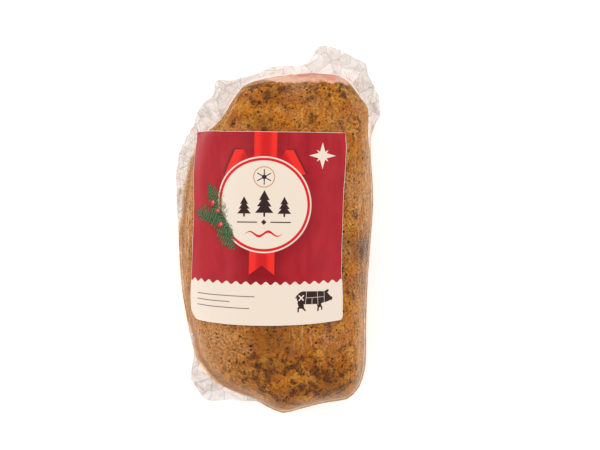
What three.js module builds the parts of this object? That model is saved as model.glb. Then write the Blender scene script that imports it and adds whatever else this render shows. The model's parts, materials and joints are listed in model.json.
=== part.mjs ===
// A small cooked ham with a mustard and breadcrumb crust, vacuum packed in a clear film pouch
// that carries a paper label. The pack lies on its back with the label up.
//
// Units are millimetres. +Z is up, +Y points to the ham's cut end and +X to the right of the
// label. The origin is at the bottom centre of the whole pack's box.
import * as THREE from "three";

// ---- Ham -----------------------------------------------------------------------------------
const HAM_CENTRE = new THREE.Vector2(0, -8); // the point that every bearing is measured from
const HAM_BASE = 0.6; // height of the ham's flat underside above the surface
const HAM_TOP = 67; // height of its crown
const FLAT_SHARE = 0.62; // share of the underside that is pressed flat
const SIDE_FULLNESS = 2.15; // superellipse exponent over the long sides
const END_FULLNESS = 3.0; // and over the two ends, which are blunter
const SWELL = 0.9; // how far the crown rises and falls along the ham

// Plan outline of the ham at its waist, anticlockwise from the right-hand side.
const HAM_OUTLINE = [
  [52.1, 14.2], [51.2, 38], [51, 65.4], [46, 74.6], [38.7, 84], [29.2, 87.2],
  [1.4, 86.6], [-18.1, 81.6], [-25.3, 72.1], [-31.5, 62], [-42.6, 50.5], [-48.2, 32],
  [-51, 14.2], [-53.2, -11.4], [-51.4, -38], [-46.4, -56], [-43.2, -69.9], [-37, -79.8],
  [-27.6, -87.6], [-14, -92.6], [-5.6, -97.4], [3.2, -101.4], [13, -98.6], [26.5, -95.2],
  [38, -93.4], [44.4, -87.2], [47.6, -74.9], [48.2, -39.3], [50.2, -12.5],
];

// ---- Film pouch ----------------------------------------------------------------------------
const FILM = 0.3; // wall of each web
const CLEARANCE = 0.3; // air between neighbouring pieces
const LEAST_FIN = 1.2; // how far the welded edge stands out where the film is tight
const WEB_SHARE = 0.3; // share of a fin that is taken up by the fillet next to the ham
const DROOP = 0.16; // how far a fin sags for each millimetre that it stands out
const SAG_RADIUS = 46; // radius of the dip in the unsupported film

// Welded edge of the pouch, anticlockwise from the right-hand side: across, along and height.
const POUCH_EDGE = [
  [53.4, 14, 26], [52.6, 32, 26], [51.6, 44, 27], [52.4, 53, 28], [54.4, 58.5, 29],
  [56.6, 63, 30], [56.1, 67, 30], [57.1, 71, 31], [55.8, 77, 32], [52.1, 83.6, 33],
  [49.2, 89, 34], [45.2, 94, 35], [36.4, 99.2, 37], [27.4, 102.2, 38], [21.6, 99.6, 37],
  [18, 94.4, 36], [13.4, 91.4, 34], [6.6, 91.4, 33], [-2.8, 91, 32], [-10, 87.4, 32],
  [-17, 85.2, 33], [-25.4, 83.6, 34], [-32.2, 83.4, 35], [-34.6, 80.6, 36], [-36.2, 75.4, 37],
  [-40.6, 71.4, 37], [-44.8, 66.4, 37], [-46.8, 58.8, 36], [-51.2, 51.4, 34],
  [-55.4, 42.4, 32], [-56.9, 30, 30], [-56.5, 13.6, 28], [-55.4, -3, 27], [-55, -17, 26],
  [-53.6, -33.8, 25], [-51.4, -47.6, 23], [-49.2, -60.4, 21], [-47.2, -67.6, 19],
  [-47.8, -74.4, 18], [-49.4, -83.6, 17], [-45.6, -89.6, 16], [-41.6, -95, 16],
  [-36.4, -97.2, 17], [-27.6, -95.4, 19], [-20.8, -96.8, 20], [-12.4, -96.2, 22],
  [-6.4, -99, 23], [2.8, -102.8, 24], [12.6, -100.4, 25], [26.6, -96.8, 25],
  [38.6, -95, 25], [45.4, -88.4, 25], [49, -77, 26], [49.4, -58, 26], [49.8, -38, 26],
  [51.4, -12, 26],
];

// ---- Label ---------------------------------------------------------------------------------
const LABEL = 0.25; // thickness
const LABEL_GAP = 0.6; // air between the label and the film
const LABEL_WIDTH = 91;
const LABEL_HEIGHT = 107.5;
const LABEL_CORNER = 2.5;
const LABEL_CENTRE = new THREE.Vector2(-7.4, 0.9);
const LABEL_TURN = THREE.MathUtils.degToRad(-1.25);
const LABEL_BOW = 30; // how strongly the lower edge is drawn up at its ends
const LABEL_FLARE = 5.5; // how much wider the left half is at its two corners

// ---- Mesh density --------------------------------------------------------------------------
const STATIONS = 2 * POUCH_EDGE.length; // bearings round the pack
const TOP_RINGS = 9;
const BASE_RINGS = 6;
const FIN_RINGS = 2;
const LABEL_COLUMNS = 24;
const LABEL_ROWS = 16;
const STRIDE = 0.5; // step of a walk over the film

const { cos, sin, sign, abs, hypot, atan2, min, max, PI } = Math;
const { lerp } = THREE.MathUtils;

// A closed smooth curve through plan points, as a look-up from bearing to radius and height.
function loopByBearing(points) {
  const curve = new THREE.CatmullRomCurve3(
    points.map(([x, y, z = 0]) => new THREE.Vector3(x, y, z)),
    true,
    "catmullrom",
    0.4,
  );
  const samples = curve.getPoints(16 * points.length).map((p) => {
    const x = p.x - HAM_CENTRE.x;
    const y = p.y - HAM_CENTRE.y;
    return { bearing: (atan2(y, x) + 2 * PI) % (2 * PI), radius: hypot(x, y), height: p.z };
  });
  samples.sort((a, b) => a.bearing - b.bearing);
  return (bearing) => {
    const b = ((bearing % (2 * PI)) + 2 * PI) % (2 * PI);
    let i = samples.findIndex((s) => s.bearing > b);
    if (i < 0) i = 0;
    const next = samples[i];
    const last = samples[(i + samples.length - 1) % samples.length];
    const span = (next.bearing - last.bearing + 2 * PI) % (2 * PI);
    const share = span > 0 ? ((b - last.bearing + 2 * PI) % (2 * PI)) / span : 0;
    return {
      radius: lerp(last.radius, next.radius, share),
      height: lerp(last.height, next.height, share),
    };
  };
}

const hamLoop = loopByBearing(HAM_OUTLINE);
const edgeLoop = loopByBearing(POUCH_EDGE);
const edgeCurve = new THREE.CatmullRomCurve3(
  POUCH_EDGE.map(([x, y, z]) => new THREE.Vector3(x, y, z)),
  true,
  "catmullrom",
  0.4,
);
// Each bearing passes through a point of the pouch's edge, so that its corners stay sharp.
const bearings = Array.from({ length: STATIONS }, (_, i) => {
  const p = edgeCurve.getPoint(i / STATIONS);
  return atan2(p.y - HAM_CENTRE.y, p.x - HAM_CENTRE.x);
});

// How much higher or lower the crown is at a place on the ham.
function swell(bearing, radius) {
  const y = HAM_CENTRE.y + radius * sin(bearing);
  const x = HAM_CENTRE.x + radius * cos(bearing);
  return SWELL * (sin(y / 21 + 0.8) * cos(x / 34) - 0.5 * cos(y / 55));
}

// Half of the ham's section at one bearing, from the crown's pole out to the waist, grown by a
// clearance. Each point is [radius, height].
function crownSection(bearing, clearance) {
  const waist = edgeLoop(bearing).height;
  const reach = hamLoop(bearing).radius + clearance;
  const power = 2 / lerp(SIDE_FULLNESS, END_FULLNESS, sin(bearing) ** 2);
  const section = [];
  for (let i = 0; i <= TOP_RINGS; i++) {
    const turn = (i / TOP_RINGS) * (PI / 2);
    const radius = reach * sin(turn) ** power;
    const rise = i === TOP_RINGS ? 0 : cos(turn) ** power;
    const crown = HAM_TOP - waist + clearance + swell(bearing, radius);
    section.push([radius, waist + crown * rise]);
  }
  return section;
}

// The same for the underside, from the middle of the flat out to the waist.
function baseSection(bearing, clearance) {
  const waist = edgeLoop(bearing).height;
  const reach = hamLoop(bearing).radius + clearance;
  const depth = waist - HAM_BASE + clearance;
  const section = [[0, waist - depth]];
  for (let i = 0; i <= BASE_RINGS; i++) {
    const turn = (i / BASE_RINGS) * (PI / 2);
    const radius = reach * lerp(FLAT_SHARE, 1, sin(turn));
    section.push([radius, waist - depth * (i === BASE_RINGS ? 0 : cos(turn))]);
  }
  return section;
}

// Carries a half section on over the fin. The film leaves the ham where a line from the fin's
// root touches it, dips a little on its way to the root, and runs from there to the edge.
// side is 1 for the web over the crown and -1 for the web under the base.
function withFin(section, bearing, offset, side) {
  const ham = hamLoop(bearing).radius;
  const { radius, height } = edgeLoop(bearing);
  const fin = max(radius - ham, LEAST_FIN);
  const root = [
    ham + LEAST_FIN - CLEARANCE + WEB_SHARE * (fin - LEAST_FIN),
    height + side * offset,
  ];
  const edge = [ham + fin, root[1] - DROOP * (ham + fin - root[0])];
  const steepness = ([r, z]) => atan2(side * (z - root[1]), root[0] - r);
  let touch = 0;
  section.forEach((point, i) => {
    if (steepness(point) >= steepness(section[touch])) touch = i;
  });
  const [r0, z0] = section[touch];
  const free = hypot(root[0] - r0, root[1] - z0);
  const count = section.length - touch - 1 + FIN_RINGS;
  const path = section.slice(0, touch + 1);
  for (let i = 1; i <= count; i++) {
    const share = i / count;
    const dip = share * share * (1 - share) * (free * free) / SAG_RADIUS;
    path.push([lerp(r0, root[0], share), lerp(z0, root[1], share) - side * dip]);
  }
  for (let i = 1; i <= FIN_RINGS; i++) {
    const share = i / FIN_RINGS;
    path.push([lerp(root[0], edge[0], share), lerp(root[1], edge[1], share)]);
  }
  return path;
}

const overCrown = (bearing, layer) =>
  withFin(crownSection(bearing, CLEARANCE + layer), bearing, CLEARANCE / 2 + layer, 1);
const underBase = (bearing, layer) =>
  withFin(baseSection(bearing, CLEARANCE + layer), bearing, CLEARANCE / 2 + layer, -1);

const at = (bearing, [radius, height]) => [
  HAM_CENTRE.x + radius * cos(bearing),
  HAM_CENTRE.y + radius * sin(bearing),
  height,
];

function closedMesh(vertices, triangles) {
  const geometry = new THREE.BufferGeometry();
  geometry.setAttribute("position", new THREE.Float32BufferAttribute(vertices.flat(), 3));
  geometry.setIndex(triangles.flat());
  geometry.computeVertexNormals();
  return geometry;
}

// A closed body from one section at each bearing. Every section starts and ends on the same
// upright line, so its first and last points are the body's two poles.
function spunBody(sectionAt) {
  const sections = bearings.map(sectionAt);
  const rings = sections[0].length - 2;
  const n = bearings.length;
  const vertices = [];
  for (let k = 1; k <= rings; k++) {
    bearings.forEach((bearing, i) => vertices.push(at(bearing, sections[i][k])));
  }
  const first = vertices.push(at(0, sections[0][0])) - 1;
  const last = vertices.push(at(0, sections[0][rings + 1])) - 1;
  const triangles = [];
  for (let i = 0; i < n; i++) {
    const j = (i + 1) % n;
    triangles.push([first, i, j]);
    for (let k = 0; k < rings - 1; k++) {
      const [a, b, c, d] = [k * n + i, k * n + j, (k + 1) * n + j, (k + 1) * n + i];
      triangles.push([a, d, c], [a, c, b]);
    }
    triangles.push([last, (rings - 1) * n + j, (rings - 1) * n + i]);
  }
  return closedMesh(vertices, triangles);
}

function hamBody() {
  return spunBody((bearing) => {
    const base = baseSection(bearing, 0).slice(0, -1);
    return [...crownSection(bearing, 0), ...base.reverse()];
  });
}

function upperWebBody() {
  return spunBody((bearing) => [
    ...overCrown(bearing, FILM),
    ...overCrown(bearing, 0).reverse(),
  ]);
}

function lowerWebBody() {
  return spunBody((bearing) => [
    ...underBase(bearing, 0),
    ...underBase(bearing, FILM).reverse(),
  ]);
}

// Height of the outside of the upper web above a place in plan.
function filmHeight(x, y) {
  const bearing = atan2(y - HAM_CENTRE.y, x - HAM_CENTRE.x);
  const radius = hypot(x - HAM_CENTRE.x, y - HAM_CENTRE.y);
  const path = overCrown(bearing, FILM);
  for (let i = 1; i < path.length; i++) {
    const [r0, z0] = path[i - 1];
    const [r1, z1] = path[i];
    if (radius <= r1 && r1 > r0) return lerp(z0, z1, (radius - r0) / (r1 - r0));
  }
  return path[path.length - 1][1];
}

// Walks over the film from a place in plan, along a heading, until it has gone a distance.
function walk(place, heading, distance) {
  let height = filmHeight(place.x, place.y);
  for (let left = distance; left > 0; left -= STRIDE) {
    const stride = min(STRIDE, left);
    const ahead = filmHeight(place.x + stride * cos(heading), place.y + stride * sin(heading));
    const advance = stride / hypot(1, (ahead - height) / stride);
    place.x += advance * cos(heading);
    place.y += advance * sin(heading);
    height = filmHeight(place.x, place.y);
  }
  return height;
}

// Lays a point of the flat label on the film: along the label's middle, and then across.
function onFilm(u, v) {
  const bow = v < 0 ? LABEL_BOW * (u / LABEL_WIDTH) ** 2 * (v / LABEL_HEIGHT) : 0;
  const place = LABEL_CENTRE.clone();
  walk(place, LABEL_TURN + sign(v) * (PI / 2), abs(v - bow));
  const flare = u < 0 ? LABEL_FLARE * (u / LABEL_WIDTH) * (2 * v / LABEL_HEIGHT) ** 2 : 0;
  const height = walk(place, LABEL_TURN + (u < 0 ? PI : 0), abs(u + 2 * flare));
  return new THREE.Vector3(place.x, place.y, height);
}

// Draws a corner point of the flat label in, onto its rounded corner.
function roundedCorner(u, v) {
  const overU = abs(u) - (LABEL_WIDTH / 2 - LABEL_CORNER);
  const overV = abs(v) - (LABEL_HEIGHT / 2 - LABEL_CORNER);
  const over = hypot(overU, overV);
  if (overU <= 0 || overV <= 0 || over <= LABEL_CORNER) return [u, v];
  const trim = LABEL_CORNER / over;
  return [u - sign(u) * overU * (1 - trim), v - sign(v) * overV * (1 - trim)];
}

function labelBody() {
  const across = LABEL_COLUMNS + 1;
  const grid = [];
  for (let row = 0; row <= LABEL_ROWS; row++) {
    for (let column = 0; column <= LABEL_COLUMNS; column++) {
      const u = LABEL_WIDTH * (column / LABEL_COLUMNS - 0.5);
      const v = LABEL_HEIGHT * (row / LABEL_ROWS - 0.5);
      grid.push(onFilm(...roundedCorner(u, v)));
    }
  }
  const normals = grid.map((_, i) => {
    const [row, column] = [Math.floor(i / across), i % across];
    const pick = (r, c) => grid[
      THREE.MathUtils.clamp(r, 0, LABEL_ROWS) * across +
      THREE.MathUtils.clamp(c, 0, LABEL_COLUMNS)
    ];
    const along = pick(row, column + 1).clone().sub(pick(row, column - 1));
    const up = pick(row + 1, column).clone().sub(pick(row - 1, column));
    return along.cross(up).normalize();
  });
  const layer = (lift) => grid.map((p, i) =>
    p.clone().addScaledVector(normals[i], lift).toArray());
  const vertices = [...layer(LABEL_GAP + LABEL), ...layer(LABEL_GAP)];
  const under = grid.length;
  const triangles = [];
  for (let row = 0; row < LABEL_ROWS; row++) {
    for (let column = 0; column < LABEL_COLUMNS; column++) {
      const a = row * across + column;
      const [b, c, d] = [a + 1, a + across + 1, a + across];
      triangles.push([a, b, c], [a, c, d]);
      triangles.push([under + a, under + c, under + b], [under + a, under + d, under + c]);
    }
  }
  const rim = [
    ...Array.from({ length: LABEL_COLUMNS }, (_, i) => i),
    ...Array.from({ length: LABEL_ROWS }, (_, i) => i * across + LABEL_COLUMNS),
    ...Array.from({ length: LABEL_COLUMNS }, (_, i) => grid.length - 1 - i),
    ...Array.from({ length: LABEL_ROWS }, (_, i) => (LABEL_ROWS - i) * across),
  ];
  rim.forEach((a, i) => {
    const b = rim[(i + 1) % rim.length];
    triangles.push([a, under + a, under + b], [a, under + b, b]);
  });
  return closedMesh(vertices, triangles);
}

function piece(name, geometry, look) {
  const mesh = new THREE.Mesh(geometry, new THREE.MeshStandardMaterial(look));
  mesh.name = name;
  return mesh;
}

const crust = { color: 0xab6b2f, roughness: 0.55, metalness: 0 };
const clearFilm = {
  color: 0xf2eeea, roughness: 0.15, metalness: 0, transparent: true, opacity: 0.25,
};
const printedPaper = { color: 0xa92632, roughness: 0.5, metalness: 0 };

const pack = new THREE.Group();
pack.add(
  piece("ham", hamBody(), crust),
  piece("upper_film", upperWebBody(), clearFilm),
  piece("lower_film", lowerWebBody(), clearFilm),
  piece("label", labelBody(), printedPaper),
);

// Stand the pack on the surface with the origin under the middle of its box.
const box = new THREE.Box3().setFromObject(pack, true);
const middle = box.getCenter(new THREE.Vector3());
pack.position.set(-middle.x, -middle.y, -box.min.z);

export default pack;
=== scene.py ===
# %% [markdown]
# # A vacuum-packed cooked ham
#
# The object is a small boneless ham. It was cooked, brushed with mustard and breadcrumbs and
# browned, so its crust is mottled, dry-looking and full of small dark crumbs. It was then put in
# a clear plastic pouch, and the air was pumped out. The film grips the ham where it can, and
# where there is too much of it, it stands out in thin, crumpled, glassy fins.
# A printed paper label is stuck on the outside of the film.
#
# The frame below brings in four plain solids, one for each real piece. Each is used as a former:
# its shape and place are kept, and a finer mesh is made over it.

# %% Load the frame
import itertools
import json
import math
import bpy
import numpy as np
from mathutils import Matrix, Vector
from mathutils.bvhtree import BVHTree

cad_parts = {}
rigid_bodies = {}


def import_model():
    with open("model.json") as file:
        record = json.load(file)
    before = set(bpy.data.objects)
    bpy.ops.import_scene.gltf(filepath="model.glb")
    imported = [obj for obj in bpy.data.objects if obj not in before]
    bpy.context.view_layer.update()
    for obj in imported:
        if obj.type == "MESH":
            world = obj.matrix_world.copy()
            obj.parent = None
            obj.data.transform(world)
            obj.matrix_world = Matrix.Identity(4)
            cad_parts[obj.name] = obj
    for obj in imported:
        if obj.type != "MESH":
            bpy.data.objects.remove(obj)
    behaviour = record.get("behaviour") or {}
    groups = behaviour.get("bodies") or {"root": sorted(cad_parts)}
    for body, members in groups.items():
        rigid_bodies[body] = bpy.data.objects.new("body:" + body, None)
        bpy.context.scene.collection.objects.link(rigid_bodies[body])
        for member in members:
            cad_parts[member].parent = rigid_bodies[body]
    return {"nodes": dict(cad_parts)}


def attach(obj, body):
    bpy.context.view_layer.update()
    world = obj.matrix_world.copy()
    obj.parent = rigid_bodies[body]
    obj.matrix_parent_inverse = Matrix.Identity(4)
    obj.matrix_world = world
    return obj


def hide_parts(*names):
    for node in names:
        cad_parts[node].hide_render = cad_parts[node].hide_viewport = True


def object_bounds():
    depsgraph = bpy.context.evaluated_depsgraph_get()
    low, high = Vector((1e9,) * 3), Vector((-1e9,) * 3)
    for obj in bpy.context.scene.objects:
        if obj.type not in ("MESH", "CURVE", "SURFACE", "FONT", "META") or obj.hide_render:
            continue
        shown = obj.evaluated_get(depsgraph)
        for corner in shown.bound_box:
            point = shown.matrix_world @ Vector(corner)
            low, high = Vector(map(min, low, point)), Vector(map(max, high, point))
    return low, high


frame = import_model()
cad_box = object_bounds()
MM = 0.001
print("pieces in the frame:", sorted(frame["nodes"]))
print("box in mm:", [[round(c / MM, 1) for c in corner] for corner in cad_box])

# %% [markdown]
# ## Small tools
#
# Blender's operators act on whatever is selected, so every step starts by selecting one object
# and nothing else. Meshes are read and written as whole arrays of points, which is quick enough
# to shape a hundred thousand points by a formula.

# %% Selecting, copying and applying


def take_up(piece):
    bpy.ops.object.select_all(action="DESELECT")
    piece.select_set(True)
    bpy.context.view_layer.objects.active = piece


def go_into(mode):
    bpy.ops.object.mode_set(mode=mode)


def apply_modifier(piece, kind, **settings):
    take_up(piece)
    modifier = piece.modifiers.new(kind.lower(), kind)
    for name, value in settings.items():
        setattr(modifier, name, value)
    bpy.ops.object.modifier_apply(modifier=modifier.name)


def merged_copy(node, name):
    piece = bpy.data.objects.new(name, frame["nodes"][node].data.copy())
    piece.data.name = name
    piece.data.materials.clear()
    bpy.context.scene.collection.objects.link(piece)
    take_up(piece)
    go_into("EDIT")
    bpy.ops.mesh.select_all(action="SELECT")
    bpy.ops.mesh.remove_doubles(threshold=0.002 * MM)
    bpy.ops.mesh.customdata_custom_splitnormals_clear()
    go_into("OBJECT")
    return piece


def pair_triangles():
    """Joins the triangles of the piece in edit mode into four-sided faces, which round better."""
    bpy.ops.mesh.select_all(action="SELECT")
    bpy.ops.mesh.tris_convert_to_quads(face_threshold=math.pi, shape_threshold=math.pi)


def choose(piece, kind, wanted):
    """Goes into edit mode with just the wanted faces or vertices selected."""
    take_up(piece)
    go_into("EDIT")
    bpy.ops.mesh.select_mode(type=kind)
    bpy.ops.mesh.select_all(action="DESELECT")
    go_into("OBJECT")
    elements = piece.data.polygons if kind == "FACE" else piece.data.vertices
    elements.foreach_set("select", np.asarray(wanted, bool))
    go_into("EDIT")


def read(items, name, width, kind=float):
    """One row of numbers for each vertex, edge or corner of a mesh."""
    values = np.empty(len(items) * width, kind)
    items.foreach_get(name, values)
    return values.reshape(-1, width)


def points_of(piece):
    return read(piece.data.vertices, "co", 3) / MM


def normals_of(piece):
    return read(piece.data.vertex_normals, "vector", 3, np.float32).astype(float)


def move_points(piece, points):
    piece.data.vertices.foreach_set("co", (points * MM).astype(np.float32).ravel())
    piece.data.update()


def paint_attribute(piece, name, values):
    layer = piece.data.attributes.new(name, "FLOAT", "POINT")
    layer.data.foreach_set("value", values.astype(np.float32))


def surface_of(piece):
    piece.data.calc_loop_triangles()
    triangles = [tuple(t.vertices) for t in piece.data.loop_triangles]
    return BVHTree.FromPolygons([tuple(p) for p in points_of(piece)], triangles)


print("points on the ham's former:", len(points_of(frame["nodes"]["ham"])))

# %% [markdown]
# Natural surfaces need randomness that comes out the same every time. `soft_noise` gives every
# point of space a smooth value between -1 and 1: it throws a fixed random number at each corner
# of a grid and blends between the corners.

# %% Repeatable noise


def corner_value(corner, seed):
    mixed = corner @ np.array([73856093, 19349663, 83492791]) + seed * 40503
    mixed = (mixed ^ (mixed >> 13)) * 1274126177
    mixed = mixed ^ (mixed >> 16)
    return (mixed & 0xFFFF) / 32767.5 - 1


def soft_noise(points, size, seed):
    cells = points / size
    low = np.floor(cells).astype(np.int64)
    part = cells - low
    part = part * part * (3 - 2 * part)
    total = np.zeros(len(points))
    for corner in itertools.product((0, 1), repeat=3):
        share = np.prod(np.where(corner, part, 1 - part), axis=1)
        total += share * corner_value(low + corner, seed)
    return total


def ease(value, start, end):
    """0 before start, 1 after end and smooth in between."""
    share = np.clip((value - start) / (end - start), 0, 1)
    return share * share * (3 - 2 * share)


print("noise at three spots:", soft_noise(np.eye(3) * 5, 2, 1).round(2))

# %% [markdown]
# ## The ham
#
# A ham is one lump of muscle pressed into shape, so it is made as one lump. The former is
# rounded with a Subdivision Surface, then given an even skin of small faces with a voxel remesh,
# which suits an organic shape better than the former's rings.
# The shape is then worked like clay, always inwards, so that it never breaks through the film:
# broad dents of the muscle, the hollows between them, and the rough grain of the crumbs.

# %% Round the former and give it an even skin
HAM_SKIN = 0.95  # size of the ham's faces in mm

ham = merged_copy("ham", "glazed_ham")
take_up(ham)
go_into("EDIT")
pair_triangles()
go_into("OBJECT")
apply_modifier(ham, "SUBSURF", levels=2, render_levels=2)
ham_core = surface_of(ham)
apply_modifier(ham, "REMESH", mode="VOXEL", voxel_size=HAM_SKIN * MM)
print("faces on the ham:", len(ham.data.polygons))

# %% Work the surface like clay
BROAD_DENT = 0.9  # depth of each kind of relief in mm
SMALL_DENT = 0.45
CRUMB_RELIEF = 0.3

spots = points_of(ham)
broad = 0.5 + 0.5 * soft_noise(spots, 17, 1)
small = np.abs(soft_noise(spots, 6.5, 2))
crumbs = 0.5 + 0.5 * soft_noise(spots, 1.7, 3)
on_crust = ease(spots[:, 2], 1.0, 6.0)
depth = BROAD_DENT * broad + SMALL_DENT * (1 - small) + CRUMB_RELIEF * crumbs
move_points(ham, spots - normals_of(ham) * (depth * on_crust)[:, None])
take_up(ham)
bpy.ops.object.shade_smooth()
print("deepest dent in mm:", round(float((depth * on_crust).max()), 2))

# %% [markdown]
# ## The film
#
# The pouch is two webs of clear film, one over the ham and one under it, joined along the edge.
# Cloth simulation could shrink a bag round the ham, but film creases sharply and cloth does not.
# So each web starts as the outer skin of its former, which already has the right drape, and is
# creased by formula.

# %% Take the outer skin of a web
WAIST = 30  # height in mm at which the ham is widest
LOOSE_FROM = 1.3  # film that stands off the ham by more than this many mm gets finer faces


def outer_skin(node, name, side):
    web = merged_copy(node, name)
    corners = points_of(web)[[list(face.vertices) for face in web.data.polygons]]
    sides = np.roll(corners, 1, axis=1) - corners
    rim = (np.hypot(sides[:, :, 0], sides[:, :, 1]) < 0.01).any(axis=1)
    choose(web, "FACE", rim)
    bpy.ops.mesh.delete(type="FACE")
    go_into("OBJECT")
    height = points_of(web)[:, 2] * side
    choose(web, "VERT", height == height.max())
    bpy.ops.mesh.select_linked()
    bpy.ops.mesh.select_all(action="INVERT")
    bpy.ops.mesh.delete(type="VERT")
    pair_triangles()
    bpy.ops.mesh.select_all(action="DESELECT")
    bpy.ops.mesh.select_non_manifold()
    bpy.ops.transform.vert_crease(value=0.7)
    go_into("OBJECT")
    apply_modifier(web, "SUBSURF", levels=2, render_levels=2)
    return web


def standoff(points):
    """How far each point is from the ham."""
    return np.array([ham_core.find_nearest(Vector(p))[3] for p in points])


def beyond_ham(points):
    """How far each point is outside the ham's outline, seen from above: negative over the ham."""
    found = np.empty(len(points))
    for i, (x, y, _) in enumerate(points):
        spot = Vector((x, y, WAIST))
        nearest, normal, _, gap = ham_core.find_nearest(spot)
        found[i] = gap if (spot - nearest).dot(normal) > 0 else -gap
    return found


def refine_loose_film(web):
    choose(web, "VERT", standoff(points_of(web)) > LOOSE_FROM)
    bpy.ops.mesh.subdivide(number_cuts=1)
    go_into("OBJECT")


upper_web = outer_skin("upper_film", "upper_film_sheet", 1)
lower_web = outer_skin("lower_film", "lower_film_sheet", -1)
film_drape = surface_of(upper_web)
film_underlay = surface_of(lower_web)
for web in (upper_web, lower_web):
    refine_loose_film(web)
    print(web.name, "faces:", len(web.data.polygons))

# %% [markdown]
# Vacuum squeezes the soft meat outwards, into the fold between the webs, all round but at the top
# end. So the ham's sides are pressed out, but never more than part of the way to the film.

# %% Press the ham's sides out into the fold of the film
SPREAD = 2.7  # how far the sides may move, in mm
SPREAD_AT_TOP = 0.15  # share of it that is left at the top end
TOP_END = (25, 60)  # from where to where that change takes place
NEVER_CLOSER = 0.72  # share of the gap that may be used up


def room_to_film(points, normals):
    found = []
    for spot, normal in zip(points, normals):
        start, way = Vector(spot), Vector(normal)
        gaps = [film.ray_cast(start, way, 12)[3] for film in (film_drape, film_underlay)]
        found.append(min([gap for gap in gaps if gap is not None], default=0))
    return np.array(found)


spots, outward = points_of(ham), normals_of(ham)
steep = 1 - np.abs(outward[:, 2])
at_top = ease(spots[:, 1], *TOP_END)
allowed = SPREAD * (1 - (1 - SPREAD_AT_TOP) * at_top) * ease(steep, 0.15, 0.7)
press = np.minimum(allowed, NEVER_CLOSER * room_to_film(spots, outward))
move_points(ham, spots + outward * press[:, None])
# How steep each spot is, kept for the crust, which paints the steep sides paler: a painted
# highlight.
paint_attribute(ham, "slope", 1 - np.abs(normals_of(ham)[:, 2]))
print("sides pressed out by up to", round(float(press.max()), 2), "mm")

# %% [markdown]
# A crumpled sheet is made of flat facets that meet in straight, sharp folds. A zigzag wave has
# just that section. Several zigzags that cross at different angles, each bent a little by
# noise, give facets of every shape and size.
# Both webs get the same crumple, because they cling to each other in the fins.

# %% Zigzag folds


def zigzag(phase):
    return 4 * np.abs(phase - np.floor(phase) - 0.5) - 1


def crumple(points, spacing, ways, seed):
    total = np.zeros(len(points))
    bend = soft_noise(points, 2.2 * spacing, seed)
    for way in range(ways):
        angle = math.pi * (way + 0.35 * math.sin(seed + 5 * way)) / ways
        across = points[:, 0] * math.cos(angle) + points[:, 1] * math.sin(angle)
        size = spacing * (0.75 + 0.5 * ((way * 0.618 + seed * 0.37) % 1))
        wander = soft_noise(points, 3 * spacing, seed + 11 + way)
        total += zigzag(across / size + 0.9 * bend + 0.8 * wander)
    return total / math.sqrt(ways)


print("one zigzag:", zigzag(np.linspace(0, 1, 5)))

# %% [markdown]
# Where the film had to shrink round a corner it made pleats, which run over the ham like thin
# cords. Each is a soft ridge between two points, and its line wanders a little.

# %% Pleats that run over the ham
# Both ends in plan, height and width in mm.
PLEATS = [
    ((-19, 80), (-31, 55), 0.9, 0.9),
    ((-26, 74), (-35, 58), 0.7, 0.8),
    ((37, 88), (51, 63), 1.0, 0.9),
    ((33, 85), (46, 62), 0.5, 0.7),
    ((-22, 79), (10, 85), 0.6, 0.7),
    ((8, 84), (36, 85), 0.7, 0.8),
    ((47.6, 60), (47.2, -20), 0.45, 0.6),
    ((49.6, 40), (46.6, -60), 0.5, 0.6),
    ((45.0, 20), (44.6, -70), 0.4, 0.7),
    ((50.2, 10), (48.0, -50), 0.45, 0.5),
    ((46.4, -40), (44.0, -84), 0.5, 0.6),
    ((8.5, -54), (9.5, -67), 0.5, 0.5),
    ((13.5, -53), (14, -66), 0.55, 0.6),
    ((18, -54), (18.5, -64), 0.4, 0.5),
    ((24, -95), (38, -86), 0.8, 1.0),
    ((-30, -84), (-20, -93), 0.6, 0.8),
    ((-49, 20), (-51, -30), 0.5, 0.8),
    ((-47, 30), (-46, 48), 0.6, 0.8),
]


def pleat_height(points):
    plan = points[:, :2]
    total = np.zeros(len(points))
    wander = 0.9 * soft_noise(points, 9, 41)
    for start, end, height, width in PLEATS:
        start, end = np.array(start), np.array(end)
        along = end - start
        length = np.linalg.norm(along)
        share = np.clip((plan - start) @ along / length**2, 0, 1)
        nearest = start + share[:, None] * along
        across = (plan - nearest) @ np.array([-along[1], along[0]]) / length + wander
        beyond = np.abs((plan - start) @ along / length**2 - 0.5) * 2
        fade = 1 - ease(beyond, 0.75, 1.1)
        total = np.maximum(total, fade * height * np.exp(-((across / width) ** 2)))
    return total


print("pleats:", len(PLEATS))

# %% [markdown]
# The loose film was cut and handled, so its corners are pulled out to points, its edge is nibbled
# in and out, and it is crumpled far more than the film that grips the ham. The upper web alone
# carries the pleats.

# %% Crease both webs
# The crumples of the loose film: height and spacing in mm, how many ways they run, and a seed.
CRUMPLES = [(1.0, 17, 3, 5), (0.75, 8, 4, 6), (0.3, 3.6, 4, 7)]
GATHERS = 24  # radial gathers for each radian round the ham
TIGHT_RIPPLE = 0.05  # ripple of the film that grips the ham, in mm
BRIDGE_RIPPLE = 0.16  # ripple of the film that bridges from the ham to the seam
SCALLOP, NIBBLE = 0.3, 0.12  # depth of the waves in the film's edge, in mm
STRAIGHT_EDGE = (88, 96)  # from here upwards the edge is left straight

# Corners of the loose film: where each is in plan, which way it is tugged and over what reach.
TUGS = [
    ((47.5, 91.0), (1.7, 1.5), 6.0),
    ((25.5, 101.5), (-1.9, 0.3), 6.0),
    ((-33.5, 81.5), (-1.0, 1.0), 5.0),
    ((55.5, 66.0), (1.0, 0.2), 5.0),
]


def tug_corners(points):
    for corner, pull, reach in TUGS:
        far = np.hypot(*(points[:, :2] - corner).T)
        points[:, :2] += np.maximum(1 - far / reach, 0)[:, None] * np.array(pull)


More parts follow.
